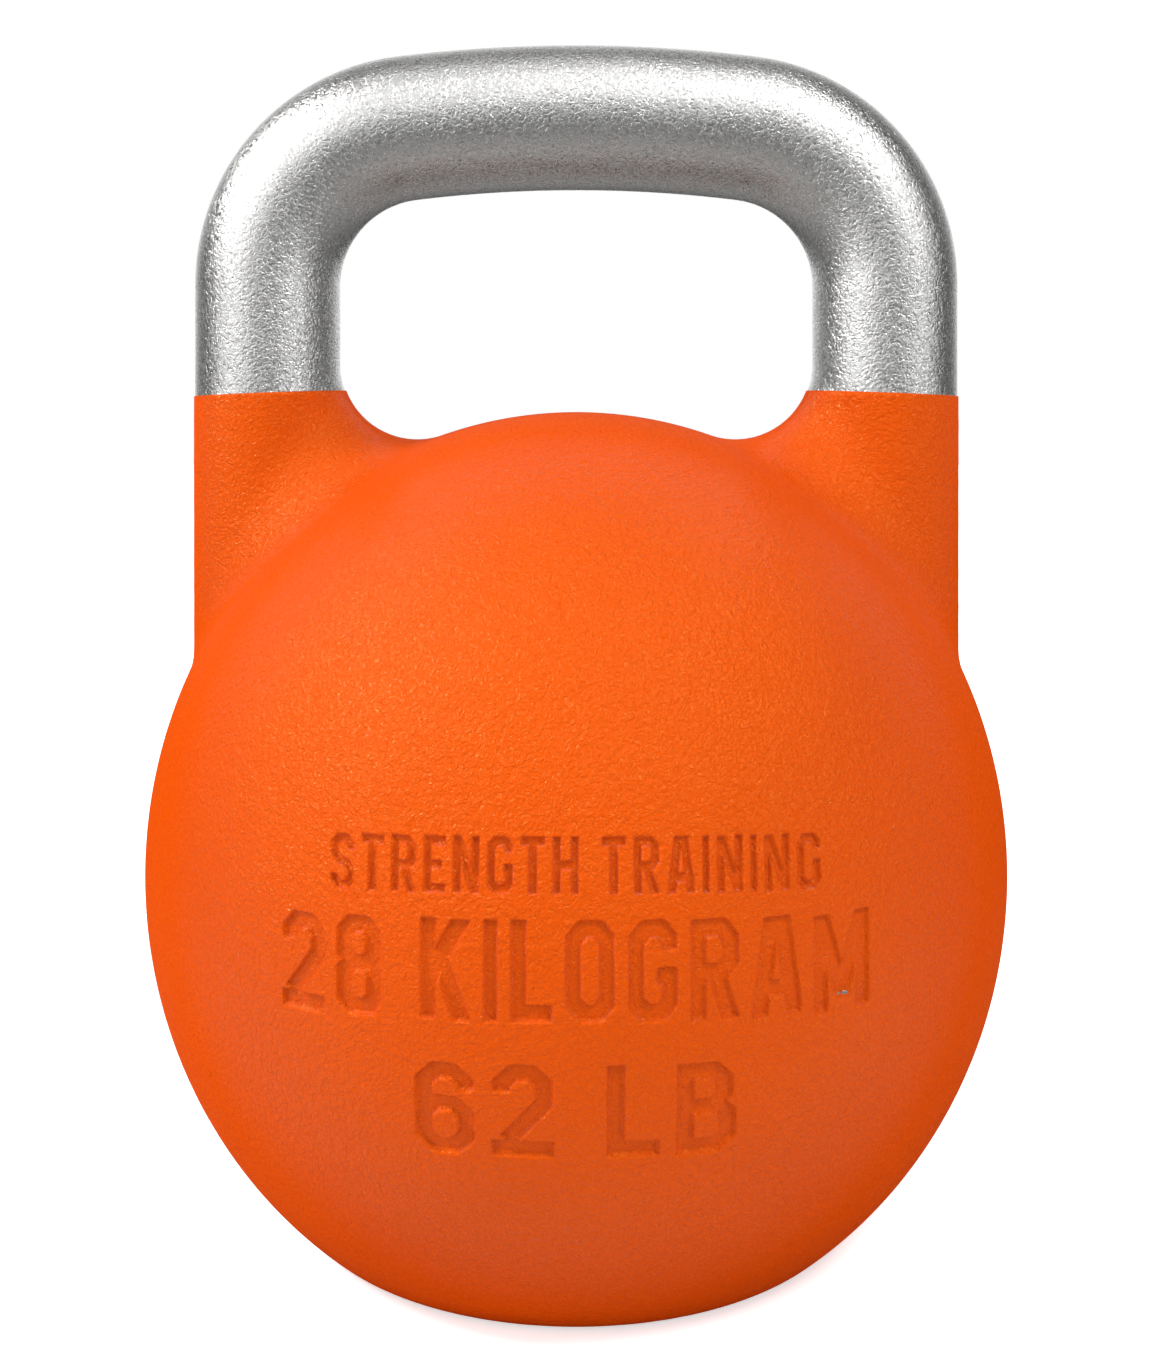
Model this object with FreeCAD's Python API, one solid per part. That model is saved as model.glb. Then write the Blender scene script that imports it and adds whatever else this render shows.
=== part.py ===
"""Competition-pattern kettlebell, 28 kg: a hollow steel ball casting with a welded-on bent handle bar.

Millimetres. +Z is up, the origin is the centre of the flat base, the lettered side faces -Y.
"""
import FreeCAD, Part
import math
import os

from FreeCAD import Vector

# ---- Overall form ----
height = 280.0             # base to the top of the bar
ball_diameter = 204.4      # widest part, across the middle of the ball
ball_height = 213.4        # full upright axis of the ball, before the base is cut flat
ball_centre = 83.5         # height of the ball's middle above the base
base_edge_radius = 7.5     # rounding between the ball and its flat base

# ---- Handle ----
handle_diameter = 35.0     # bar section
handle_width = 186.0       # outside of one leg to the outside of the other
corner_radius = 38.75      # centreline of each upper corner
crown_radius = 340.0       # centreline of the slightly bowed top
root_fillet = 19.0         # hollow rounding where a horn grows out of the ball

# ---- Handle joint: spigot in a socket, closed by a ring weld ----
seam_rise = 0.5            # weld centre above the top of the ball
weld_half_width = 2.4      # at the surface
weld_root_half_gap = 1.0   # at the spigot
spigot_shoulder = 4.5      # step from the bar to its turned-down spigot
spigot_length = 20.0       # below the weld centre
socket_end_gap = 1.0       # air under the spigot's end
socket_clearance = 0.05    # all round the spigot
spigot_chamfer = 1.5

# ---- Hollow ball and its base opening ----
cavity_diameter = 135.5    # round cored hollow; it sets the weight
base_wall = 16.2           # steel under the hollow
plug_thread_diameter = 40.0
plug_flange_diameter = 52.0
plug_flange_thickness = 3.0
plug_recess = 2.0          # flange face above the base plane
plug_end_past_wall = 1.0   # threaded end showing inside the hollow
plug_chamfer = 1.0
seal_thickness = 1.5
thread_clearance = 0.1
flange_clearance = 0.3
hex_across_flats = 17.0
hex_depth = 6.0

# ---- Trim ballast potted in the bottom of the hollow ----
shot_diameter = 10.0
shot_gap = 1.0             # resin between neighbouring balls
shot_rise = 4.0            # resin between the plug's end and the balls
shot_rings = 2             # rings of balls round the middle one
potting_cover = 4.0        # resin over the balls

# ---- Paint ----
coat_thickness = 0.3
paint_height = 195.0       # masked edge, at each leg's centreline
paint_tilt = 2.3           # degrees, lower towards the outside

# ---- Sunk weight markings ----
letter_depth = 1.1
stem_width = 0.19          # of the letter height
letter_gap = 0.14          # of the letter height
word_gap = 0.34            # of the letter height
row_arch_radius = 540.0    # each row droops towards its ends
cutter_length = 50.0       # from just in front of the ball
rows = [                   # text, middle height, letter height, row length
    ("STRENGTH TRAINING", 105.8, 10.6, 95.0),
    ("28 KILOGRAM", 86.6, 19.2, 115.0),
    ("62 LB", 59.5, 19.2, 61.5),
]

# ---- Worked out from the values above ----
handle_radius = handle_diameter / 2
leg_offset = handle_width / 2 - handle_radius
spigot_radius = handle_radius - spigot_shoulder
dome_top = ball_centre + ball_height / 2
seam_height = dome_top + seam_rise
crown_centre = height - handle_radius - crown_radius
leg_top = crown_centre + math.sqrt((crown_radius - corner_radius) ** 2 - (leg_offset - corner_radius) ** 2)
cavity_centre = base_wall + cavity_diameter / 2
cavity_floor = cavity_centre - math.sqrt((cavity_diameter / 2) ** 2 - (plug_thread_diameter / 2) ** 2)
plug_end = cavity_floor + plug_end_past_wall
seal_top = plug_recess + plug_flange_thickness + seal_thickness
shot_height = plug_end + shot_rise + shot_diameter / 2
potting_top = shot_height + shot_diameter / 2 + potting_cover
sides = {"left": -1, "right": 1}

up = Vector(0, 0, 1)


def cylinder(radius, bottom, top, x=0.0):
    """Upright cylinder between two heights."""
    return Part.makeCylinder(radius, top - bottom, Vector(x, 0, bottom))


def ellipsoid(grow):
    """Whole upright ellipsoid of the ball, grown all round by `grow`."""
    half_width = ball_diameter / 2 + grow
    half_height = ball_height / 2 + grow
    middle = Vector(0, 0, ball_centre)
    tall = middle + Vector(0, 0, half_height)
    wide = middle + Vector(half_width, 0, 0)
    ends = (tall, wide) if half_height >= half_width else (wide, tall)
    disc = Part.Face(Part.Wire(Part.Ellipse(*ends, middle).toShape()))
    bottom = ball_centre - 2 * half_height
    top = ball_centre + 2 * half_height
    half_plane = flat_face([(0, bottom), (2 * half_width, bottom), (2 * half_width, top), (0, top)])
    solid = disc.common(half_plane).Faces[0].revolve(Vector(0, 0, 0), up, 360)
    solid.rotate(Vector(0, 0, 0), up, 90)
    return solid


def handle_path():
    """Centreline of the bar: up one leg, over the bowed crown and down the other leg."""
    corner = Vector(leg_offset - corner_radius, 0, leg_top)
    crown = Vector(0, 0, crown_centre)
    out = (corner - crown).normalize()
    foot = Vector(leg_offset, 0, ball_centre)
    shoulder = Vector(leg_offset, 0, leg_top)
    turn = corner + out * corner_radius
    half_way = corner + (out + Vector(1, 0, 0)).normalize() * corner_radius
    top = Vector(0, 0, crown_centre + crown_radius)
    right = [
        Part.LineSegment(foot, shoulder),
        Part.Arc(shoulder, half_way, turn),
    ]
    left = [
        Part.Arc(mirrored(turn), mirrored(half_way), mirrored(shoulder)),
        Part.LineSegment(mirrored(shoulder), mirrored(foot)),
    ]
    pieces = right + [Part.Arc(turn, top, mirrored(turn))] + left
    return Part.Wire([piece.toShape() for piece in pieces])


def mirrored(point):
    return Vector(-point.x, point.y, point.z)


def handle_sweep(grow):
    """Round bar along the centreline, its feet buried in the ball."""
    section = Part.makeCircle(handle_radius + grow, Vector(leg_offset, 0, ball_centre), up)
    return handle_path().makePipeShell([Part.Wire(section)], True, False)


def outer_form(grow):
    """Whole ball and handle as one form, with the hollow rounding at the two horn roots."""
    form = ellipsoid(grow).fuse(handle_sweep(grow))
    root_edges = []
    for edge in form.Edges:
        kinds = {face.Surface.TypeId for face in form.ancestorsOfType(edge, Part.Face)}
        if kinds == {"Part::GeomCylinder", "Part::GeomSurfaceOfRevolution"}:
            root_edges.append(edge)
    return form.makeFillet(root_fillet - grow, root_edges)


def lettered_body(grow):
    """Outer form with its letters sunk, cut flat at the base plane, its base edge rounded."""
    form = outer_form(grow).cut(sunk_letters(grow))
    above_base = Part.makeBox(
        4 * ball_diameter, 4 * ball_diameter, 2 * height, Vector(-2 * ball_diameter, -2 * ball_diameter, 0))
    form = form.common(above_base)
    base_edges = [edge for edge in form.Edges if on_plane(edge, 0) and edge.Length > 1]
    return form.makeFillet(base_edge_radius + grow, base_edges)


def groove_ring(side):
    """Ring of the weld groove at one leg: narrow at the spigot, full width at the surface."""
    reach = handle_radius + root_fillet / 2
    profile = [
        (spigot_radius, -weld_root_half_gap),
        (handle_radius, -weld_half_width),
        (reach, -weld_half_width),
        (reach, weld_half_width),
        (handle_radius, weld_half_width),
        (spigot_radius, weld_root_half_gap),
    ]
    points = [Vector(side * leg_offset + radius, 0, seam_height + rise) for radius, rise in profile]
    face = Part.Face(Part.makePolygon(points + points[:1]))
    return face.revolve(Vector(side * leg_offset, 0, 0), up, 360)


def seam_weld(form, side):
    """Ring weld, ground flush with the form around it."""
    return form.common(groove_ring(side))


def spigot(side, grow=0.0, end_gap=0.0):
    """Turned-down end of the bar; grown and lengthened, it is the socket that takes it."""
    bottom = seam_height - spigot_length
    peg = cylinder(spigot_radius, bottom, seam_height + weld_root_half_gap, side * leg_offset)
    if grow:
        return cylinder(spigot_radius + grow, bottom - end_gap, 2 * seam_height, side * leg_offset)
    end = [edge for edge in peg.Edges if edge.BoundBox.ZMax < bottom + 0.01]
    return peg.makeChamfer(spigot_chamfer, end)


def handle_bar(form):
    """Bent bar above the two ring welds, with a spigot on each foot."""
    above = Part.makeBox(
        2 * handle_width, 2 * handle_width, height, Vector(-handle_width, -handle_width, seam_height))
    bar = form.common(above)
    for side in sides.values():
        bar = bar.cut(groove_ring(side)).fuse(spigot(side))
    return bar.removeSplitter()


def stroke_band(path, half):
    """Outline of a stroke of even width along a run of points, with mitred turns and square ends."""
    closed = path[0] == path[-1]
    points = path[:-1] if closed else path
    count = len(points)
    banks = ([], [])
    for index, (x, z) in enumerate(points):
        before = points[(index - 1) % count] if closed or index > 0 else None
        after = points[(index + 1) % count] if closed or index < count - 1 else None
        normals = []
        for start, end in ((before, (x, z)), ((x, z), after)):
            if start and end:
                run = math.dist(start, end)
                normals.append(((start[1] - end[1]) / run, (end[0] - start[0]) / run))
        nx = sum(normal[0] for normal in normals) / len(normals)
        nz = sum(normal[1] for normal in normals) / len(normals)
        mitre = half / (nx * nx + nz * nz)
        banks[0].append((x + nx * mitre, z + nz * mitre))
        banks[1].append((x - nx * mitre, z - nz * mitre))
    if closed:
        return banks
    return (banks[0] + banks[1][::-1],)


def flat_face(outline):
    """Face in the XZ plane from an outline of (x, z) points, always facing the same way."""
    pairs = list(zip(outline, outline[1:] + outline[:1]))
    turn = sum(x0 * z1 - x1 * z0 for (x0, z0), (x1, z1) in pairs)
    ordered = outline if turn > 0 else outline[::-1]
    points = [Vector(x, 0, z) for x, z in ordered]
    return Part.Face(Part.makePolygon(points + points[:1]))


def letter_block(letter, size, stretch, inset, depth):
    """One letter cut `depth` deep along +Y, its lower left corner at the origin."""
    width, strokes = glyphs[letter]
    half_stem = stem_width * size / 2 - inset
    run = Vector(0, depth, 0)
    blocks = []
    for path in strokes:
        centreline = [(x * size * stretch, z * size) for x, z in path]
        bands = [flat_face(outline) for outline in stroke_band(centreline, half_stem)]
        bands.sort(key=lambda band: -band.Area)
        block = bands[0].extrude(run)
        blocks.append(block.cut(bands[1].extrude(run)) if len(bands) == 2 else block)
    letter_solid = blocks[0].fuse(blocks[1:]) if len(blocks) > 1 else blocks[0]
    right = width * size * stretch - inset
    top = size - inset
    cell = flat_face([(inset, inset), (right, inset), (right, top), (inset, top)]).extrude(run)
    return letter_solid.common(cell).removeSplitter()


def ring_path(left, right, bottom, top, cut):
    """Closed loop with its four corners cut off."""
    return [
        (left, bottom + cut), (left + cut, bottom), (right - cut, bottom), (right, bottom + cut),
        (right, top - cut), (right - cut, top), (left + cut, top), (left, top - cut), (left, bottom + cut),
    ]


# Letters are one unit tall. Each is a width and its strokes' centrelines; the ends that run
# past the letter's own cell are trimmed square by it.
half = stem_width / 2
low, mid, high = half, 0.5, 1 - half
cut = 0.12
stem = [(half, -0.1), (half, 1.1)]
glyphs = {
    "A": (0.66, [[(0.08, -0.1), (0.29, 1.1)], [(0.58, -0.1), (0.37, 1.1)], [(0.15, 0.29), (0.51, 0.29)]]),
    "B": (0.6, [stem, [(half, high), (0.36, high), (0.47, 0.8), (0.47, 0.63), (0.37, 0.53), (half, 0.53)],
                [(0.3, 0.53), (0.39, 0.53), (0.505, 0.43), (0.505, 0.21), (0.39, low), (half, low)]]),
    "E": (0.54, [stem, [(half, high), (0.7, high)], [(half, mid), (0.5, mid)], [(half, low), (0.7, low)]]),
    "G": (0.62, [[(0.525, 0.68), (0.525, high - cut), (0.525 - cut, high), (half + cut, high),
                  (half, high - cut), (half, low + cut), (half + cut, low), (0.525 - cut, low),
                  (0.525, low + cut), (0.525, 0.45), (0.33, 0.45)]]),
    "H": (0.62, [stem, [(0.525, -0.1), (0.525, 1.1)], [(half, mid), (0.525, mid)]]),
    "I": (stem_width, [stem]),
    "K": (0.64, [stem, [(0.06, 0.34), (0.6, 1.12)], [(0.25, 0.6), (0.58, -0.1)]]),
    "L": (0.52, [stem, [(half, low), (0.7, low)]]),
    "M": (0.78, [stem, [(0.685, -0.1), (0.685, 1.1)], [(0.06, 1.1), (0.39, 0.2)], [(0.72, 1.1), (0.39, 0.2)]]),
    "N": (0.64, [stem, [(0.545, -0.1), (0.545, 1.1)], [(0.06, 1.08), (0.58, -0.08)]]),
    "O": (0.62, [ring_path(half, 0.525, low, high, cut)]),
    "R": (0.62, [stem, [(half, high), (0.39, high), (0.51, high - cut), (0.51, 0.59), (0.4, 0.48), (half, 0.48)],
                 [(0.3, 0.52), (0.55, -0.1)]]),
    "S": (0.6, [[(0.505, 0.69), (0.505, high - cut), (0.505 - cut, high), (half + cut, high),
                 (half, high - cut), (half, 0.65), (0.19, 0.54), (0.41, 0.46), (0.505, 0.35),
                 (0.505, low + cut), (0.505 - cut, low), (half + cut, low), (half, low + cut), (half, 0.31)]]),
    "T": (0.58, [[(-0.1, high), (0.7, high)], [(0.29, high), (0.29, -0.1)]]),
    "2": (0.6, [[(half, 0.68), (half, high - cut), (half + cut, high), (0.505 - cut, high),
                 (0.505, high - cut), (0.505, 0.6), (0.13, 0.16)], [(-0.1, low), (0.7, low)]]),
    "6": (0.6, [[(0.505, 0.7), (0.505, high - cut), (0.505 - cut, high), (half + cut, high),
                 (half, high - cut), (half, 0.3)], ring_path(half, 0.505, low, 0.56, cut)]),
    "8": (0.6, [ring_path(half, 0.505, low, 0.52, 0.1), ring_path(0.105, 0.495, 0.52, high, 0.1)]),
}


def row_places(text, size, length):
    """Left edge of each letter, with the gaps stretched so that the row has its length."""
    cursor = 0.0
    places = []
    for letter in text:
        if letter == " ":
            cursor += word_gap * size
            continue
        places.append((letter, cursor))
        cursor += (glyphs[letter][0] + letter_gap) * size
    natural = cursor - letter_gap * size
    stretch = length / natural
    return [(letter, left * stretch - length / 2, stretch) for letter, left in places]


def letter_cutters(inset):
    """Cutters for every sunk letter, run straight in from the front."""
    start = -ball_diameter / 2 - 1
    cutters = []
    for text, middle, size, length in rows:
        for letter, left, stretch in row_places(text, size, length):
            block = letter_block(letter, size, stretch, inset, cutter_length)
            centre = left + glyphs[letter][0] * size * stretch / 2
            drop = centre * centre / (2 * row_arch_radius)
            block.translate(Vector(left, start, middle - size / 2 - drop))
            cutters.append(block)
    return cutters


def sunk_letters(grow):
    """Letter cutters whose floors follow the ball; grown by the coat, they leave room for paint."""
    floor = ellipsoid(grow - letter_depth)
    return Part.makeCompound([cutter.cut(floor) for cutter in letter_cutters(grow)])


def cavity():
    """Cored hollow and the stepped opening through the base."""
    core = Part.makeSphere(cavity_diameter / 2, Vector(0, 0, cavity_centre))
    bore = cylinder(plug_thread_diameter / 2, -1, cavity_centre)
    counterbore = cylinder(plug_flange_diameter / 2 + flange_clearance, -1, seal_top)
    return core.fuse([bore, counterbore])


def ball_casting(body):
    """Hollow ball with its two horns, up to the weld grooves."""
    below = Part.makeBox(
        2 * handle_width, 2 * handle_width, seam_height + 1, Vector(-handle_width, -handle_width, -1))
    casting = body.common(below)
    tools = [cavity()]
    for side in sides.values():
        tools.append(groove_ring(side))
        tools.append(spigot(side, socket_clearance, socket_end_gap))
    return casting.cut(tools)


def paint_mask(side):
    """Everything above the masked paint edge of one leg."""
    corner = Vector(-handle_width, -handle_width / 2, 0)
    mask = Part.makeBox(2 * handle_width, handle_width, height, corner)
    mask.rotate(Vector(0, 0, 0), Vector(0, 1, 0), side * paint_tilt)
    mask.translate(Vector(side * leg_offset, 0, paint_height))
    return mask


def body_coat(body):
    """Paint over the casting and the two welds, down to the edge of the bare base."""
    shell = lettered_body(coat_thickness)
    masks = [paint_mask(side) for side in sides.values()]
    return shell.cut(masks).cut(body)


def core_plug():
    """Flanged screw plug for the core opening, with a hexagon socket."""
    radius = plug_thread_diameter / 2 - thread_clearance
    shank = cylinder(radius, plug_recess, plug_end)
    flange = cylinder(plug_flange_diameter / 2, plug_recess, plug_recess + plug_flange_thickness)
    plug = shank.fuse(flange).removeSplitter()
    rims = [edge for edge in plug.Edges if edge.Closed and on_plane(edge, plug_end)]
    rims += [edge for edge in plug.Edges if edge.Closed and on_plane(edge, plug_recess)]
    plug = plug.makeChamfer(plug_chamfer, rims)
    corners = []
    for corner in range(7):
        angle = math.radians(60 * corner)
        reach = hex_across_flats / math.sqrt(3)
        corners.append(Vector(reach * math.cos(angle), reach * math.sin(angle), 0))
    socket = Part.Face(Part.makePolygon(corners)).extrude(up * (plug_recess + hex_depth))
    return plug.cut(socket)


def on_plane(edge, level):
    return abs(edge.BoundBox.ZMin - level) < 0.01 and abs(edge.BoundBox.ZMax - level) < 0.01


def plug_seal():
    """Flat sealing washer squeezed between the plug's flange and the casting."""
    bottom = plug_recess + plug_flange_thickness
    ring = cylinder(plug_flange_diameter / 2, bottom, seal_top)
    return ring.cut(cylinder(plug_thread_diameter / 2, bottom, seal_top))


def trim_shot():
    """Steel balls laid in rings round a middle one, just above the plug's end."""
    pitch = shot_diameter + shot_gap
    balls = [Part.makeSphere(shot_diameter / 2, Vector(0, 0, shot_height))]
    for ring in range(1, shot_rings + 1):
        for step in range(6 * ring):
            angle = 2 * math.pi * step / (6 * ring)
            place = Vector(ring * pitch * math.cos(angle), ring * pitch * math.sin(angle), shot_height)
            balls.append(Part.makeSphere(shot_diameter / 2, place))
    return Part.makeCompound(balls)


def shot_potting(plug, shot):
    """Resin that holds the shot, poured in over the plug's end."""
    fill = Part.makeSphere(cavity_diameter / 2, Vector(0, 0, cavity_centre))
    fill = fill.common(cylinder(cavity_diameter, 0, potting_top))
    return fill.cut([plug] + shot.Solids)


form = outer_form(0)
body = lettered_body(0)
plug = core_plug()
shot = trim_shot()
nodes = {
    "ball_casting": ball_casting(body),
    "handle_bar": handle_bar(form),
    "body_coat": body_coat(body),
    "core_plug": plug,
    "plug_seal": plug_seal(),
    "trim_shot": shot,
    "shot_potting": shot_potting(plug, shot),
}
for name, side in sides.items():
    nodes[name + "_seam_weld"] = seam_weld(form, side)

os.makedirs("parts", exist_ok=True)
for name, shape in nodes.items():
    shape.exportStep("parts/" + name + ".step")
    print(name, len(shape.Solids), "solids", round(shape.Volume), "mm3", "valid" if shape.isValid() else "INVALID")
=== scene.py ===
"""Looks of a 28 kg competition-pattern kettlebell: orange coated ball and horns, bare steel handle."""
import itertools
import math

import bmesh
import bpy
import numpy as np
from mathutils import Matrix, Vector


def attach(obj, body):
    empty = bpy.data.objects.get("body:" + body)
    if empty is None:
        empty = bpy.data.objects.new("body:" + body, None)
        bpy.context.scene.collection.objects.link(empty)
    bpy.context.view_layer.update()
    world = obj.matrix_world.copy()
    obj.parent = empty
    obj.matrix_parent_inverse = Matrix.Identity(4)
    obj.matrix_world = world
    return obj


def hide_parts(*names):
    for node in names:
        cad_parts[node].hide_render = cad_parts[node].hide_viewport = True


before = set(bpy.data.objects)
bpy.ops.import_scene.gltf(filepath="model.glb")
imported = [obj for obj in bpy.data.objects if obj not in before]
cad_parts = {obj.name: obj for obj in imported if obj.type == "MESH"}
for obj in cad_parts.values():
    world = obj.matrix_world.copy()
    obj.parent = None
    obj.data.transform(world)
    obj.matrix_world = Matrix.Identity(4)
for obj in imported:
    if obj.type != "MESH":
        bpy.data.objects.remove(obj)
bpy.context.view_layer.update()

# ---- Sizes of the bell, in millimetres ----
MM = 0.001
BALL_HALF_WIDTH = 102.2
BALL_HALF_HEIGHT = 106.7
BALL_CENTRE = 83.5
BASE_EDGE_RADIUS = 7.5
BAR_RADIUS = 17.5
LEG_OFFSET = 75.5
CORNER_RADIUS = 38.75
CROWN_RADIUS = 340.0
HEIGHT = 280.0
CROWN_CENTRE = HEIGHT - BAR_RADIUS - CROWN_RADIUS
CORNER_X = LEG_OFFSET - CORNER_RADIUS
LEG_TOP = CROWN_CENTRE + math.sqrt((CROWN_RADIUS - CORNER_RADIUS) ** 2 - CORNER_X ** 2)
CORNER_TURN = math.atan2(LEG_TOP - CROWN_CENTRE, CORNER_X)
ROOT_FILLET = 19.0
ROOT_HALF_WIDTH = BALL_HALF_WIDTH + ROOT_FILLET
ROOT_HALF_HEIGHT = BALL_HALF_HEIGHT + ROOT_FILLET
COAT = 0.3
PAINT_HEIGHT = 195.0
PAINT_TILT = math.radians(2.3)
BAR_FOOT = 191.6

# ---- Sunk markings, in millimetres; letters are one unit tall ----
LETTER_DEPTH = 1.1
WALL_WIDTH = 0.5
END_CUT = 0.6
END_STEEPNESS = 8
STEM = 0.19
LETTER_GAP = 0.14
WORD_GAP = 0.34
ROW_ARCH_RADIUS = 540.0
# Each row: its words, the height of its middle, the height of its letters and its length.
ROWS = [
    ("STRENGTH TRAINING", 105.8, 10.6, 95.0),
    ("28 KILOGRAM", 86.6, 19.2, 115.0),
    ("62 LB", 59.5, 19.2, 61.5),
]

# ---- How finely the skin is meshed, in millimetres ----
COAT_STEP = 1.5
COAT_REACH = 108.0
COAT_LOW = -3.0
COAT_HIGH = 201.0
LETTER_BAND = 1.7
LETTER_CUTS = 5
BASE_CUT = 0.06
RIM_BAND = 2.5
FOOT_BAND = 0.5
COAT_SHARE = 0.9
BAR_STEP = 0.5
SETTLE_ROUNDS = 3
FAR = 50.0

# ---- Relief of the skin: height and size of its lumps in millimetres, and the seed ----
HORN_RELIEF = [(0.030, 2.6, 5), (0.018, 1.5, 6)]
BAR_RELIEF = [(0.012, 2.0, 11), (0.014, 1.1, 12)]
HORN_RELIEF_START = 1.0
HORN_RELIEF_FADE = 7.0

# ---- Colours ----
DEEP_ORANGE = (0.545, 0.055, 0.0004, 1)
BRIGHT_ORANGE = (0.585, 0.063, 0.0007, 1)
GLOSS_TINT = (1.0, 0.8, 0.22, 1)
PIT_STEEL = (0.30, 0.29, 0.28, 1)
BARE_STEEL = (0.62, 0.615, 0.605, 1)

# ---- Studio, in metres ----
LIGHT_DISTANCE = 2.4
WATTS_FOR_BRIGHTNESS = math.pi
BELL_MIDDLE = Vector((0, 0, 0.16))
FLOOR_REACH = 6.0
CAMERA_SPOT = (0.0003, -0.418, 0.190)
CAMERA_SENSOR = 36.0
CAMERA_LENS = CAMERA_SENSOR * 1.2518
CAMERA_SHIFT = -0.196


# ---- Form ----
def ball_distance(points, grow):
    """Distance to the upright ellipsoid, close to true near its surface."""
    half = np.array([BALL_HALF_WIDTH, BALL_HALF_WIDTH, BALL_HALF_HEIGHT]) + grow
    spot = points - np.array([0.0, 0.0, BALL_CENTRE])
    reach = np.linalg.norm(spot / half, axis=1)
    slope = np.linalg.norm(spot / half ** 2, axis=1)
    return reach * (reach - 1) / np.maximum(slope, 1e-9)


def flat_base_distance(points, grow):
    """The ball cut flat at the base, with the base edge rounded."""
    edge = BASE_EDGE_RADIUS + grow
    wide = BALL_HALF_WIDTH + grow - edge
    tall = BALL_HALF_HEIGHT + grow - edge
    ring = wide * math.sqrt(1 - ((BALL_CENTRE - edge) / tall) ** 2)
    out = np.array([ring / wide ** 2, (edge - BALL_CENTRE) / tall ** 2])
    out /= np.linalg.norm(out)
    arm = np.stack([np.hypot(points[:, 0], points[:, 1]) - ring, points[:, 2] - edge], axis=1)
    side = arm[:, 0] / out[0]
    down = side * out[1] - arm[:, 1]
    rounded = np.linalg.norm(arm, axis=1) - edge
    plain = np.maximum(ball_distance(points, grow), -points[:, 2])
    return np.where((side > 0) & (down > 0), rounded, plain)


def bar_distance(points, grow):
    """Distance to the bent round bar."""
    x = np.abs(points[:, 0])
    z = points[:, 2]
    leg = np.hypot(x - LEG_OFFSET, np.maximum(BALL_CENTRE - z, 0))
    corner = np.hypot(x - CORNER_X, z - LEG_TOP) - CORNER_RADIUS
    crown = np.hypot(x, z - CROWN_CENTRE) - CROWN_RADIUS
    over = np.arctan2(z - LEG_TOP, x - CORNER_X)
    across = np.where(z < LEG_TOP, leg, np.where(over < CORNER_TURN, corner, crown))
    return np.hypot(across, points[:, 1]) - BAR_RADIUS - grow


def root_curve(angle):
    """Where the middle of a rolling ball runs round a leg while it touches leg and ball."""
    reach = BAR_RADIUS + ROOT_FILLET
    x = LEG_OFFSET + reach * np.cos(angle)
    y = reach * np.sin(angle)
    left_over = np.maximum(1 - (x * x + y * y) / ROOT_HALF_WIDTH ** 2, 1e-6)
    z = BALL_CENTRE + ROOT_HALF_HEIGHT * np.sqrt(left_over)
    return np.stack([x, y, z], axis=1)


def nearest_on_root_curve(spot):
    """Angle round the leg of the nearest place on the root curve: best of a ring of guesses, refined."""
    best = np.full(len(spot), np.inf)
    angle = np.zeros(len(spot))
    for guess in np.linspace(-math.pi, math.pi, 24, endpoint=False):
        place = root_curve(np.array([guess]))
        gap = ((spot - place) ** 2).sum(1)
        closer = gap < best
        best[closer] = gap[closer]
        angle[closer] = guess
    small = 1e-3
    for _ in range(5):
        ahead = root_curve(angle + small)
        behind = root_curve(angle - small)
        here = root_curve(angle)
        pace = (ahead - behind) / (2 * small)
        bend = (ahead + behind - 2 * here) / small ** 2
        lean = ((here - spot) * pace).sum(1)
        curve = (pace * pace).sum(1) + ((here - spot) * bend).sum(1)
        angle = angle - np.clip(lean / np.maximum(curve, 300.0), -0.2, 0.2)
    return angle


def bell_distance(points, grow):
    """The whole outer form: ball, handle and the hollow rounding at the horn roots."""
    ball = flat_base_distance(points, grow)
    bar = bar_distance(points, grow)
    distance = np.minimum(ball, bar)
    near = (ball < 2 * ROOT_FILLET) & (bar < 2 * ROOT_FILLET) & (points[:, 2] > BALL_CENTRE)
    near &= (ball > -ROOT_FILLET) & (bar > -BAR_RADIUS / 2)
    if not near.any():
        return distance
    spot = points[near] * 1.0
    spot[:, 0] = np.abs(spot[:, 0])
    angle = nearest_on_root_curve(spot)
    middle = root_curve(angle)
    arm = spot - middle
    root_half = np.array([ROOT_HALF_WIDTH, ROOT_HALF_WIDTH, ROOT_HALF_HEIGHT])
    from_ball = (middle - np.array([0, 0, BALL_CENTRE])) / root_half ** 2
    from_ball /= np.linalg.norm(from_ball, axis=1)[:, None]
    from_bar = np.stack([np.cos(angle), np.sin(angle), 0 * angle], axis=1)
    shared = (from_ball * from_bar).sum(1)
    to_ball = -(arm * from_ball).sum(1)
    to_bar = -(arm * from_bar).sum(1)
    between = (to_ball > shared * to_bar) & (to_bar > shared * to_ball)
    rounded = ROOT_FILLET - grow - np.linalg.norm(arm, axis=1)
    distance[near] = np.where(between, rounded, distance[near])
    return distance


def outward(points, grow):
    """Unit direction in which the distance grows fastest."""
    small = 0.05
    slope = np.empty_like(points)
    for axis in range(3):
        step = np.zeros(3)
        step[axis] = small
        slope[:, axis] = bell_distance(points + step, grow) - bell_distance(points - step, grow)
    return slope / np.maximum(np.linalg.norm(slope, axis=1), 1e-9)[:, None]


def settle(points, grow):
    """Moves points on to the bell's surface."""
    for _ in range(SETTLE_ROUNDS):
        points = points - outward(points, grow) * bell_distance(points, grow)[:, None]
    return points


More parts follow.
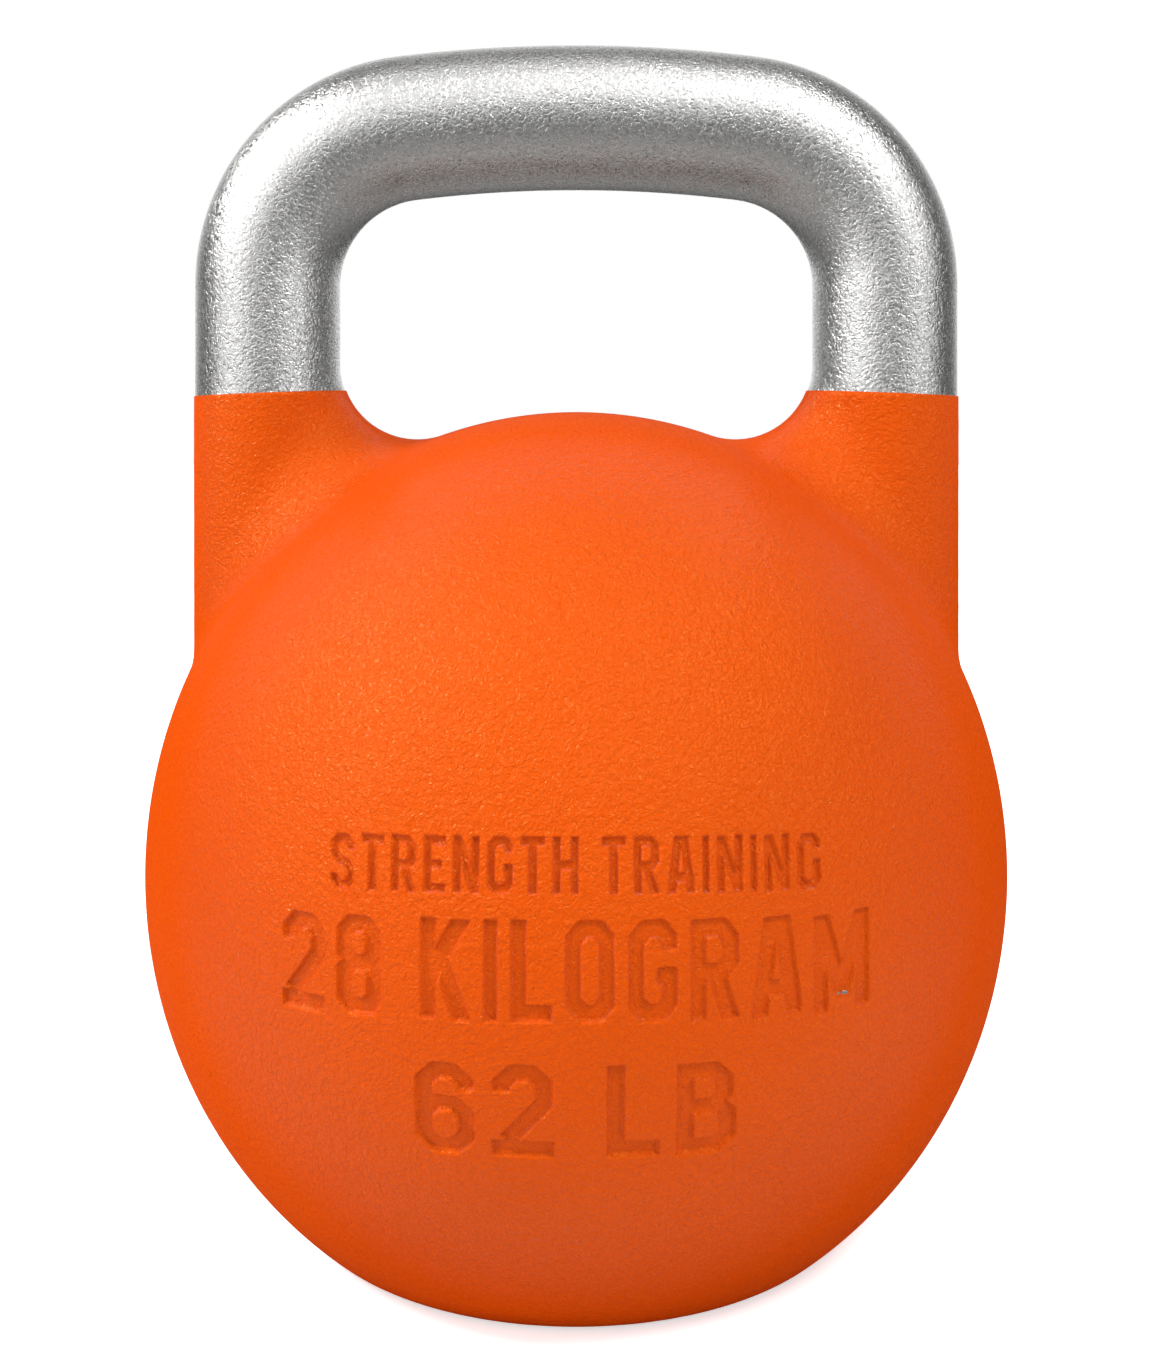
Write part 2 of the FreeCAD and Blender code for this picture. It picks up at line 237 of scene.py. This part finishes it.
def net_surface(low, high, step, grow):
    """Quads wrapped round the bell's form inside a block of space, one vertex to each crossed cell."""
    ticks = [np.arange(start, end + step, step) for start, end in zip(low, high)]
    grid = np.stack(np.meshgrid(*ticks, indexing="ij"), axis=-1)
    shape = grid.shape[:3]
    value = bell_distance(grid.reshape(-1, 3), grow).reshape(shape)
    inside = value < 0
    cells = tuple(size - 1 for size in shape)
    total = np.zeros(cells + (3,))
    count = np.zeros(cells)
    crossings = []
    for axis in range(3):
        lower = [slice(None)] * 3
        upper = [slice(None)] * 3
        lower[axis] = slice(0, -1)
        upper[axis] = slice(1, None)
        start = inside[tuple(lower)]
        crossed = start != inside[tuple(upper)]
        at = np.argwhere(crossed)
        first = value[tuple(lower)][crossed]
        second = value[tuple(upper)][crossed]
        place = grid[tuple(lower)][crossed].copy()
        place[:, axis] += step * first / (first - second)
        others = [other for other in range(3) if other != axis]
        inner = np.ones(len(at), bool)
        for other in others:
            inner &= (at[:, other] > 0) & (at[:, other] < shape[other] - 1)
        at, place, leaving = at[inner], place[inner], start[crossed][inner]
        corners = []
        for back in ((1, 1), (0, 1), (0, 0), (1, 0)):
            cell = at.copy()
            for other, shift in zip(others, back):
                cell[:, other] -= shift
            np.add.at(total, tuple(cell.T), place)
            np.add.at(count, tuple(cell.T), 1)
            corners.append(np.ravel_multi_index(tuple(cell.T), cells))
        quads = np.stack(corners, axis=1)
        flip = leaving if axis != 1 else ~leaving
        quads[~flip] = quads[~flip][:, ::-1]
        crossings.append(quads)
    used = count > 0
    number = np.full(cells, -1)
    number[used] = np.arange(used.sum())
    points = total[used] / count[used][:, None]
    return points, number.reshape(-1)[np.concatenate(crossings)]


def grain(points, size, seed):
    """Smooth random lumps of about that size, between -1 and 1."""
    dice = np.random.default_rng(seed)
    order = dice.permutation(256)
    leans = dice.normal(size=(256, 3))
    leans /= np.linalg.norm(leans, axis=1)[:, None]
    place = points / size
    cell = np.floor(place).astype(int)
    part = place - cell
    fade = part ** 3 * (part * (part * 6 - 15) + 10)
    total = np.zeros(len(points))
    for corner in itertools.product((0, 1), repeat=3):
        key = cell + np.array(corner)
        pick = order[(order[(order[key[:, 0] & 255] + key[:, 1]) & 255] + key[:, 2]) & 255]
        weight = np.where(corner, fade, 1 - fade).prod(axis=1)
        total += weight * ((part - np.array(corner)) * leans[pick]).sum(axis=1)
    return total * 1.6


def relief_at(points, layers):
    """Height of the pebbled relief: the sum of its layers."""
    return sum(height * grain(points, size, seed) for height, size, seed in layers)


# ---- Letters ----
def ring_path(left, right, bottom, top, cut):
    """Closed loop with its four corners cut off."""
    return [
        (left, bottom + cut), (left + cut, bottom), (right - cut, bottom), (right, bottom + cut),
        (right, top - cut), (right - cut, top), (left + cut, top), (left, top - cut),
        (left, bottom + cut),
    ]


half = STEM / 2
low, mid, high = half, 0.5, 1 - half
cut = 0.12
stem = [(half, -0.1), (half, 1.1)]
GLYPHS = {
    "A": (0.66, [[(0.08, -0.1), (0.29, 1.1)], [(0.58, -0.1), (0.37, 1.1)], [(0.15, 0.29), (0.51, 0.29)]]),
    "B": (0.6, [stem, [(half, high), (0.36, high), (0.47, 0.8), (0.47, 0.63), (0.37, 0.53), (half, 0.53)],
                [(0.3, 0.53), (0.39, 0.53), (0.505, 0.43), (0.505, 0.21), (0.39, low), (half, low)]]),
    "E": (0.54, [stem, [(half, high), (0.7, high)],
                 [(half, mid), (0.5, mid)], [(half, low), (0.7, low)]]),
    "G": (0.62, [[(0.525, 0.68), (0.525, high - cut), (0.525 - cut, high), (half + cut, high),
                  (half, high - cut), (half, low + cut), (half + cut, low), (0.525 - cut, low),
                  (0.525, low + cut), (0.525, 0.45), (0.33, 0.45)]]),
    "H": (0.62, [stem, [(0.525, -0.1), (0.525, 1.1)], [(half, mid), (0.525, mid)]]),
    "I": (STEM, [stem]),
    "K": (0.64, [stem, [(0.06, 0.34), (0.6, 1.12)], [(0.25, 0.6), (0.58, -0.1)]]),
    "L": (0.52, [stem, [(half, low), (0.7, low)]]),
    "M": (0.78, [stem, [(0.685, -0.1), (0.685, 1.1)],
                 [(0.06, 1.1), (0.39, 0.2)], [(0.72, 1.1), (0.39, 0.2)]]),
    "N": (0.64, [stem, [(0.545, -0.1), (0.545, 1.1)], [(0.06, 1.08), (0.58, -0.08)]]),
    "O": (0.62, [ring_path(half, 0.525, low, high, cut)]),
    "R": (0.62, [stem, [(half, high), (0.39, high), (0.51, high - cut), (0.51, 0.59),
                        (0.4, 0.48), (half, 0.48)], [(0.3, 0.52), (0.55, -0.1)]]),
    "S": (0.6, [[(0.505, 0.69), (0.505, high - cut), (0.505 - cut, high), (half + cut, high),
                 (half, high - cut), (half, 0.65), (0.19, 0.54), (0.41, 0.46), (0.505, 0.35),
                 (0.505, low + cut), (0.505 - cut, low), (half + cut, low), (half, low + cut),
                 (half, 0.31)]]),
    "T": (0.58, [[(-0.1, high), (0.7, high)], [(0.29, high), (0.29, -0.1)]]),
    "2": (0.6, [[(half, 0.68), (half, high - cut), (half + cut, high), (0.505 - cut, high),
                 (0.505, high - cut), (0.505, 0.6), (0.13, 0.16)], [(-0.1, low), (0.7, low)]]),
    "6": (0.6, [[(0.505, 0.7), (0.505, high - cut), (0.505 - cut, high), (half + cut, high),
                 (half, high - cut), (half, 0.3)], ring_path(half, 0.505, low, 0.56, cut)]),
    "8": (0.6, [ring_path(half, 0.505, low, 0.52, 0.1), ring_path(0.105, 0.495, 0.52, high, 0.1)]),
}


def row_places(text, size, length):
    """Left edge of each letter, with the gaps stretched so that the row has its length."""
    cursor = 0.0
    places = []
    for letter in text:
        if letter == " ":
            cursor += WORD_GAP * size
            continue
        places.append((letter, cursor))
        cursor += (GLYPHS[letter][0] + LETTER_GAP) * size
    stretch = length / (cursor - LETTER_GAP * size)
    return [(letter, left * stretch - length / 2, stretch) for letter, left in places]


def stroke_distance(x, z, start, end, first, last):
    """Distance in the lettering plane to a straight stretch of a stroke; open ends are cut square."""
    run = (end[0] - start[0], end[1] - start[1])
    length = math.hypot(*run)
    along = ((x - start[0]) * run[0] + (z - start[1]) * run[1]) / length
    kept = np.clip(along, 0, length) / length
    distance = np.hypot(x - start[0] - kept * run[0], z - start[1] - kept * run[1])
    short = END_CUT - along
    over = along - length + END_CUT
    return distance + END_STEEPNESS * (np.maximum(short, 0) * first + np.maximum(over, 0) * last)


def letter_distance(points):
    """Distance to the nearest letter's outline on the front of the ball: negative inside a letter."""
    nearest = np.full(len(points), FAR)
    margin = 4.0
    for text, middle, size, length in ROWS:
        for letter, left, stretch in row_places(text, size, length):
            width = GLYPHS[letter][0] * size * stretch
            centre = left + width / 2
            bottom = middle - size / 2 - centre * centre / (2 * ROW_ARCH_RADIUS)
            x = points[:, 0] - left
            z = points[:, 2] - bottom
            near = (x > -margin) & (x < width + margin) & (z > -margin) & (z < size + margin)
            near &= points[:, 1] < 0
            x, z = x[near], z[near]
            stroke = np.full(len(x), FAR)
            for path in GLYPHS[letter][1]:
                line = [(a * size * stretch, b * size) for a, b in path]
                open_ends = path[0] != path[-1]
                for index, (start, end) in enumerate(zip(line, line[1:])):
                    first = open_ends and index == 0
                    last = open_ends and index == len(line) - 2
                    stroke = np.minimum(stroke, stroke_distance(x, z, start, end, first, last))
            cell = np.maximum(np.abs(x - width / 2) - width / 2, np.abs(z - size / 2) - size / 2)
            outline = np.maximum(stroke - STEM * size / 2, cell) + COAT
            nearest[near] = np.minimum(nearest[near], outline)
    return nearest


# ---- Meshes ----
def new_piece(name, points, faces):
    """Mesh object from points in millimetres."""
    mesh = bpy.data.meshes.new(name)
    mesh.from_pydata((points * MM).tolist(), [], [list(face) for face in faces])
    mesh.polygons.foreach_set("use_smooth", [True] * len(mesh.polygons))
    mesh.update()
    piece = bpy.data.objects.new(name, mesh)
    bpy.context.scene.collection.objects.link(piece)
    return piece


def mesh_points(mesh):
    flat = np.empty(len(mesh.vertices) * 3)
    mesh.vertices.foreach_get("co", flat)
    return flat.reshape(-1, 3) / MM


def set_mesh_points(mesh, points):
    mesh.vertices.foreach_set("co", (points * MM).reshape(-1))
    mesh.update()


def horn_share(points):
    """1 on the horns, where the bar's coarse relief shows through the coat, fading to 0 on the ball."""
    return np.clip(1.0 - (bar_distance(points, 0) - HORN_RELIEF_START) / HORN_RELIEF_FADE, 0, 1)


def slice_off(shape, geometry, spot, normal):
    """Cuts away what lies beyond a plane."""
    bmesh.ops.bisect_plane(
        shape, geom=geometry, plane_co=spot, plane_no=normal, clear_outer=True, dist=1e-7)


def mask_horns(shape):
    """Ends the coat on each horn at the paint's edge, a little lower towards the outside."""
    for side in (-1, 1):
        normal = Vector((side * math.sin(PAINT_TILT), 0, math.cos(PAINT_TILT)))
        spot = Vector((side * LEG_OFFSET * MM, 0, PAINT_HEIGHT * MM))
        this_side = [face for face in shape.faces if face.calc_center_median().x * side > 0]
        edges = dict.fromkeys(edge for face in this_side for edge in face.edges)
        verts = dict.fromkeys(vert for face in this_side for vert in face.verts)
        slice_off(shape, [*this_side, *edges, *verts], spot, normal)


def refine_letters(shape):
    """Meshes the skin finely near the letters' outlines."""
    centres = np.array([face.calc_center_median() for face in shape.faces]) / MM
    wanted = np.abs(letter_distance(centres)) < LETTER_BAND
    lettered = [face for face, chosen in zip(shape.faces, wanted) if chosen]
    edges = list(dict.fromkeys(edge for face in lettered for edge in face.edges))
    bmesh.ops.subdivide_edges(shape, edges=edges, cuts=LETTER_CUTS, use_grid_fill=True)


def body_coat_piece():
    """Orange coat: a thin closed shell over ball and horns, lining the sunk letters."""
    lowest = (-COAT_REACH, -COAT_REACH, COAT_LOW)
    highest = (COAT_REACH, COAT_REACH, COAT_HIGH)
    points, quads = net_surface(lowest, highest, COAT_STEP, COAT)
    piece = new_piece("orange_coat", points, quads)
    shape = bmesh.new()
    shape.from_mesh(piece.data)
    mask_horns(shape)
    everything = shape.verts[:] + shape.edges[:] + shape.faces[:]
    slice_off(shape, everything, Vector((0, 0, BASE_CUT * MM)), Vector((0, 0, -1)))
    refine_letters(shape)
    shape.to_mesh(piece.data)
    shape.free()
    points = mesh_points(piece.data)
    rim = points[:, 2] > PAINT_HEIGHT - RIM_BAND
    foot = points[:, 2] < FOOT_BAND
    free = ~(rim | foot)
    points[free] = settle(points[free], COAT)
    normals = outward(points, COAT)
    outline = letter_distance(points)
    sunk = np.clip(0.5 - outline / WALL_WIDTH, 0, 1)
    sunk = sunk * sunk * (3 - 2 * sunk)
    relief = horn_share(points) * relief_at(points, HORN_RELIEF)
    relief[~free] = 0
    points += normals * (relief - LETTER_DEPTH * sunk)[:, None]
    set_mesh_points(piece.data, points)
    piece.data.polygons.foreach_set("use_smooth", [True] * len(piece.data.polygons))
    thick = piece.modifiers.new("coat_thickness", "SOLIDIFY")
    thick.thickness = COAT * MM * COAT_SHARE
    thick.offset = -1
    return piece


def bar_centreline(step):
    """Places along the bar's centreline from the left foot to the right one, with their directions."""
    rise = LEG_TOP - BAR_FOOT
    up = np.linspace(0, 1, math.ceil(rise / step), endpoint=False)
    leg = np.stack([
        np.full(len(up), LEG_OFFSET), BAR_FOOT + up * rise, np.full(len(up), math.pi / 2)], axis=1)
    bend = np.linspace(0, CORNER_TURN, math.ceil(CORNER_TURN * CORNER_RADIUS / step), endpoint=False)
    corner = np.stack([
        CORNER_X + CORNER_RADIUS * np.cos(bend),
        LEG_TOP + CORNER_RADIUS * np.sin(bend), bend + math.pi / 2], axis=1)
    half_crown = math.pi / 2 - CORNER_TURN
    sweep = np.linspace(CORNER_TURN, math.pi / 2, math.ceil(half_crown * CROWN_RADIUS / step) + 1)
    crown = np.stack([
        CROWN_RADIUS * np.cos(sweep),
        CROWN_CENTRE + CROWN_RADIUS * np.sin(sweep), sweep + math.pi / 2], axis=1)
    right = np.concatenate([leg, corner, crown])
    left = right[:-1] * np.array([-1, 1, -1])
    left[:, 2] += 2 * math.pi
    return np.concatenate([right, left[::-1]])


def bare_bar_piece():
    """Bare steel bar with its pebbled skin, flared at both feet."""
    line = bar_centreline(BAR_STEP)
    count = math.ceil(2 * math.pi * BAR_RADIUS / BAR_STEP)
    spin = np.linspace(0, 2 * math.pi, count, endpoint=False)
    out = line[:, 2] - math.pi / 2
    rows = []
    for x, z, lean in zip(line[:, 0], line[:, 1], out):
        across = BAR_RADIUS * np.cos(spin)
        rows.append(np.stack([
            x + across * math.cos(lean),
            -BAR_RADIUS * np.sin(spin),
            z + across * math.sin(lean)], axis=1))
    points = settle(np.concatenate(rows), 0.0)
    normals = outward(points, 0.0)
    points += normals * relief_at(points, BAR_RELIEF)[:, None]
    first = np.arange(count)
    after = (first + 1) % count
    faces = []
    for row in range(len(line) - 1):
        here, there = row * count, (row + 1) * count
        faces += np.stack([here + first, there + first, there + after, here + after], axis=1).tolist()
    faces.append(list(first))
    faces.append(list((len(line) - 1) * count + first[::-1]))
    return new_piece("bare_bar", points, faces)


# ---- Finishes ----
class Wire:
    """A node's output that can be used in sums."""

    def __init__(self, finish, socket):
        self.finish = finish
        self.socket = socket

    def __add__(self, other):
        return self.finish.maths("ADD", self, other)

    def __mul__(self, other):
        return self.finish.maths("MULTIPLY", self, other)

    __radd__ = __add__
    __rmul__ = __mul__


class Finish:
    """The nodes of one material, or of the air round the bell."""

    COLOUR_INPUTS = (6, 7)
    COLOUR_OUTPUT = 2

    def __init__(self, owner, coordinates="Object"):
        self.owner = owner
        owner.use_nodes = True
        self.tree = owner.node_tree
        self.tree.nodes.clear()
        self.place = self.node("ShaderNodeTexCoord", out=coordinates)

    def node(self, kind, settings=None, sockets=None, out=0):
        """Adds a node: its settings first, then each socket's value or link."""
        made = self.tree.nodes.new(kind)
        for key, value in (settings or {}).items():
            setattr(made, key, value)
        for key, value in (sockets or {}).items():
            if isinstance(value, Wire):
                self.tree.links.new(value.socket, made.inputs[key])
            else:
                made.inputs[key].default_value = value
        return Wire(self, made.outputs[out])

    def maths(self, operation, first, second):
        return self.node("ShaderNodeMath", {"operation": operation}, {0: first, 1: second})

    def noise(self, scale, detail=2.0, roughness=0.5, distortion=0.0):
        sockets = {"Vector": self.place, "Scale": scale, "Detail": detail,
                   "Roughness": roughness, "Distortion": distortion}
        return self.node("ShaderNodeTexNoise", {}, sockets)

    def spread(self, value, low, high, to_low=0.0, to_high=1.0):
        """Carries a value smoothly from one range into another."""
        sockets = {
            "Value": value, "From Min": low, "From Max": high, "To Min": to_low, "To Max": to_high}
        return self.node("ShaderNodeMapRange", {"interpolation_type": "SMOOTHSTEP"}, sockets)

    def blend(self, amount, first, second):
        """Runs from the first colour to the second."""
        one, other = self.COLOUR_INPUTS
        sockets = {0: amount, one: first, other: second}
        return self.node("ShaderNodeMix", {"data_type": "RGBA"}, sockets, out=self.COLOUR_OUTPUT)

    def bump(self, height, strength, distance):
        sockets = {"Height": height, "Strength": strength, "Distance": distance}
        return self.node("ShaderNodeBump", {}, sockets)

    def shader(self, sockets):
        return self.node("ShaderNodeBsdfPrincipled", {}, sockets)

    def close(self, shader, kind="ShaderNodeOutputMaterial"):
        """Ends the tree in a shader; returns the finished material or world."""
        end = self.tree.nodes.new(kind)
        self.tree.links.new(shader.socket, end.inputs["Surface"])
        return self.owner

    def surface(self, sockets):
        """Ends the tree in a single shader."""
        return self.close(self.shader(sockets))


def finish_named(name):
    return Finish(bpy.data.materials.new(name))


def grey(level):
    return (level, level, level, 1)


def orange_coat_finish():
    """Satin orange coat with a fine orange-peel skin; its gloss dies away towards the outline."""
    finish = finish_named("satin_orange_coat")
    peel = finish.noise(1250, 2.0, 0.5, 0.8)
    lumps = finish.noise(560, 2.0, 0.5, 0.5)
    tone = finish.noise(28, 3.0, 0.5)
    colour = finish.blend(tone, DEEP_ORANGE, BRIGHT_ORANGE)
    skin = finish.bump(peel * 0.6 + lumps * 0.5, 0.7, 0.0012)
    gloss = finish.shader({
        "Base Color": colour,
        "Roughness": finish.spread(peel, 0.3, 0.7, 0.21, 0.29),
        "Specular IOR Level": 0.3,
        "Specular Tint": GLOSS_TINT,
        "Normal": skin,
    })
    matt = finish.shader({
        "Base Color": colour,
        "Roughness": 0.8,
        "Specular IOR Level": 0.0,
        "Normal": skin,
    })
    facing = finish.node("ShaderNodeLayerWeight", {}, {"Blend": 0.5}, out="Facing")
    dulled = finish.spread(facing, 0.32, 0.72, 0.0, 0.92)
    return finish.close(finish.node("ShaderNodeMixShader", {}, {0: dulled, 1: gloss, 2: matt}))


def bare_steel_finish():
    """Tumbled bare steel with a fine wrinkled skin."""
    finish = finish_named("pebbled_bare_steel")
    wrinkle = finish.noise(1050, 2.0, 0.5, 1.2)
    fine = finish.noise(2300, 1.0, 0.5)
    pits = finish.noise(1500, 1.0, 0.5)
    dark = finish.spread(pits, 0.30, 0.42, 0.8, 1.0)
    colour = finish.blend(dark, PIT_STEEL, BARE_STEEL)
    height = wrinkle * 0.8 + fine * 0.35
    return finish.surface({
        "Base Color": colour,
        "Metallic": 1.0,
        "Roughness": finish.spread(wrinkle, 0.3, 0.7, 0.24, 0.34),
        "Normal": finish.bump(height, 0.55, 0.0006),
    })


def steel_finish(name, colour, roughness, ring_scale=0.0):
    """Plain machined or rough steel; with a ring scale it shows turning marks about the upright axis."""
    finish = finish_named(name)
    mottle = finish.noise(90, 4.0, 0.6)
    fine = finish.noise(1400, 2.0, 0.5)
    height = fine
    if ring_scale:
        rings = finish.node("ShaderNodeTexWave", {"wave_type": "RINGS", "rings_direction": "Z"}, {
            "Vector": finish.place, "Scale": ring_scale,
            "Distortion": 0.4, "Detail": 2.0, "Detail Scale": 3.0})
        height = fine * 0.3 + rings * 0.7
    shade = tuple(channel * 0.72 for channel in colour)
    return finish.surface({
        "Base Color": finish.blend(mottle, (*shade, 1), (*colour, 1)),
        "Metallic": 1.0,
        "Roughness": finish.spread(mottle, 0.3, 0.7, roughness - 0.06, roughness + 0.08),
        "Normal": finish.bump(height, 0.3, 0.0003),
    })


def soft_finish(name, colour, roughness):
    """Rubber or resin: dull, faintly mottled."""
    finish = finish_named(name)
    mottle = finish.noise(160, 4.0, 0.6)
    shade = tuple(channel * 0.7 for channel in colour)
    return finish.surface({
        "Base Color": finish.blend(mottle, (*shade, 1), (*colour, 1)),
        "Roughness": finish.spread(mottle, 0.3, 0.7, roughness - 0.08, roughness + 0.08),
        "Normal": finish.bump(finish.noise(1200, 2.0, 0.5), 0.2, 0.0003),
    })


def dress(piece, material):
    piece.data.materials.clear()
    piece.data.materials.append(material)


# ---- Studio ----
def aim(thing, target):
    direction = Vector(target) - thing.location
    thing.rotation_euler = direction.to_track_quat("-Z", "Y").to_euler()


def soft_box(name, azimuth, elevation, wide, tall, brightness):
    """Light panel aimed at the bell; angles in degrees, azimuth from the front towards the right."""
    lamp = bpy.data.lights.new(name, "AREA")
    lamp.shape = "RECTANGLE"
    lamp.size = 2 * LIGHT_DISTANCE * math.tan(math.radians(wide / 2))
    lamp.size_y = 2 * LIGHT_DISTANCE * math.tan(math.radians(tall / 2))
    lamp.energy = brightness * lamp.size * lamp.size_y * WATTS_FOR_BRIGHTNESS
    holder = bpy.data.objects.new(name, lamp)
    bpy.context.scene.collection.objects.link(holder)
    turn, lift = math.radians(azimuth), math.radians(elevation)
    holder.location = BELL_MIDDLE + LIGHT_DISTANCE * Vector((
        math.sin(turn) * math.cos(lift), -math.cos(turn) * math.cos(lift), math.sin(lift)))
    aim(holder, BELL_MIDDLE)


def pale_floor():
    """White floor that glows more with distance; what the bell sees of it is greyer."""
    mesh = bpy.data.meshes.new("floor")
    reach = FLOOR_REACH
    corners = [(-reach, -reach, 0), (reach, -reach, 0), (reach, reach, 0), (-reach, reach, 0)]
    mesh.from_pydata(corners, [], [(0, 1, 2, 3)])
    floor = bpy.data.objects.new("floor", mesh)
    bpy.context.scene.collection.objects.link(floor)
    finish = finish_named("pale_floor")
    seen = finish.node("ShaderNodeLightPath", out="Is Camera Ray")
    mirrored = finish.node("ShaderNodeLightPath", out="Is Glossy Ray")
    away = finish.node("ShaderNodeVectorMath", {"operation": "LENGTH"}, {0: finish.place}, out="Value")
    # Painted reflection: glossy rays see the floor as a set grey, 0.34 near the bell fading to 0.10
    # farther out, and diffuse rays see 0.72. Painted glow: to the eye the floor's emission rises from
    # 0.55 near the bell to 1.0 farther out.
    near_bell = finish.spread(away, 0.18, 0.45, 1.0, 0.0)
    sheen = finish.blend(near_bell, grey(0.10), grey(0.34))
    bounce = finish.blend(mirrored, grey(0.72), sheen)
    glow = finish.blend(finish.spread(away, 0.2, 1.2, 0.55, 1.0), grey(0), grey(1))
    dress(floor, finish.surface({
        "Base Color": finish.blend(seen, bounce, grey(0.9)),
        "Roughness": 0.95,
        "Specular IOR Level": 0.0,
        "Emission Color": finish.blend(seen, grey(0), glow),
        "Emission Strength": 1.0,
    }))


def studio_air():
    """White all round to the eye; what lights the bell is grey in front and white behind."""
    world = bpy.data.worlds.new("studio_air")
    bpy.context.scene.world = world
    air = Finish(world, "Generated")
    back = air.node("ShaderNodeSeparateXYZ", {}, {0: air.place}, out="Y")
    beside = air.spread(back, -0.75, 0.0)
    behind = air.spread(back, 0.55, 0.9)
    near = air.blend(beside, grey(0.3), grey(0.12))
    mirrored = air.blend(behind, near, grey(1.35))
    dull = air.node("ShaderNodeLightPath", out="Is Diffuse Ray")
    wrap = air.blend(air.spread(back, -0.9, 0.1), grey(0.15), grey(0.75))
    lit = air.blend(dull, mirrored, wrap)
    seen = air.node("ShaderNodeLightPath", out="Is Camera Ray")
    shade = air.blend(seen, lit, grey(1))
    sky = air.node("ShaderNodeBackground", {}, {"Color": shade, "Strength": 1.0})
    air.close(sky, "ShaderNodeOutputWorld")


def studio():
    pale_floor()
    studio_air()
    soft_box("left_box", -51, 14, 46, 54, 1.9)
    soft_box("left_lamp", -76, 40, 11, 11, 58.0)
    soft_box("top_box", 0, 58, 40, 80, 1.0)
    soft_box("right_box", 54, 10, 24, 54, 2.4)
    soft_box("right_lamp", 40, 48, 10, 10, 42.0)


def camera():
    """Level camera a little above the middle, close in, with its frame shifted down."""
    eye = bpy.data.cameras.new("camera")
    eye.sensor_fit = "VERTICAL"
    eye.sensor_height = CAMERA_SENSOR
    eye.lens = CAMERA_LENS
    eye.shift_y = CAMERA_SHIFT
    eye.clip_start = 0.01
    holder = bpy.data.objects.new("camera", eye)
    holder.location = CAMERA_SPOT
    holder.rotation_euler = (math.radians(90), 0, 0)
    bpy.context.scene.collection.objects.link(holder)
    bpy.context.scene.camera = holder


# ---- The bell ----
bpy.context.scene.view_settings.view_transform = "Standard"

coat = body_coat_piece()
dress(coat, orange_coat_finish())
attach(coat, "root")
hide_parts("body_coat")

bar = bare_bar_piece()
dress(bar, bare_steel_finish())
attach(bar, "root")
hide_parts("handle_bar")

node_finishes = {
    "ball_casting": steel_finish("ground_base_steel", (0.45, 0.445, 0.44), 0.34, 260.0),
    "left_seam_weld": steel_finish("ground_weld_steel", (0.42, 0.41, 0.40), 0.4),
    "right_seam_weld": steel_finish("ground_weld_steel_right", (0.42, 0.41, 0.40), 0.4),
    "core_plug": steel_finish("oiled_plug_steel", (0.16, 0.16, 0.165), 0.36, 420.0),
    "trim_shot": steel_finish("shot_steel", (0.5, 0.5, 0.5), 0.3),
    "plug_seal": soft_finish("seal_rubber", (0.02, 0.02, 0.02), 0.6),
    "shot_potting": soft_finish("potting_resin", (0.35, 0.24, 0.09), 0.4),
}
for node_name, material in node_finishes.items():
    dress(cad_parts[node_name], material)

# The steel's reflections stay clean grey: the orange skin and the casting under it don't show in them.
coat.visible_glossy = False
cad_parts["ball_casting"].visible_glossy = False

studio()
camera()
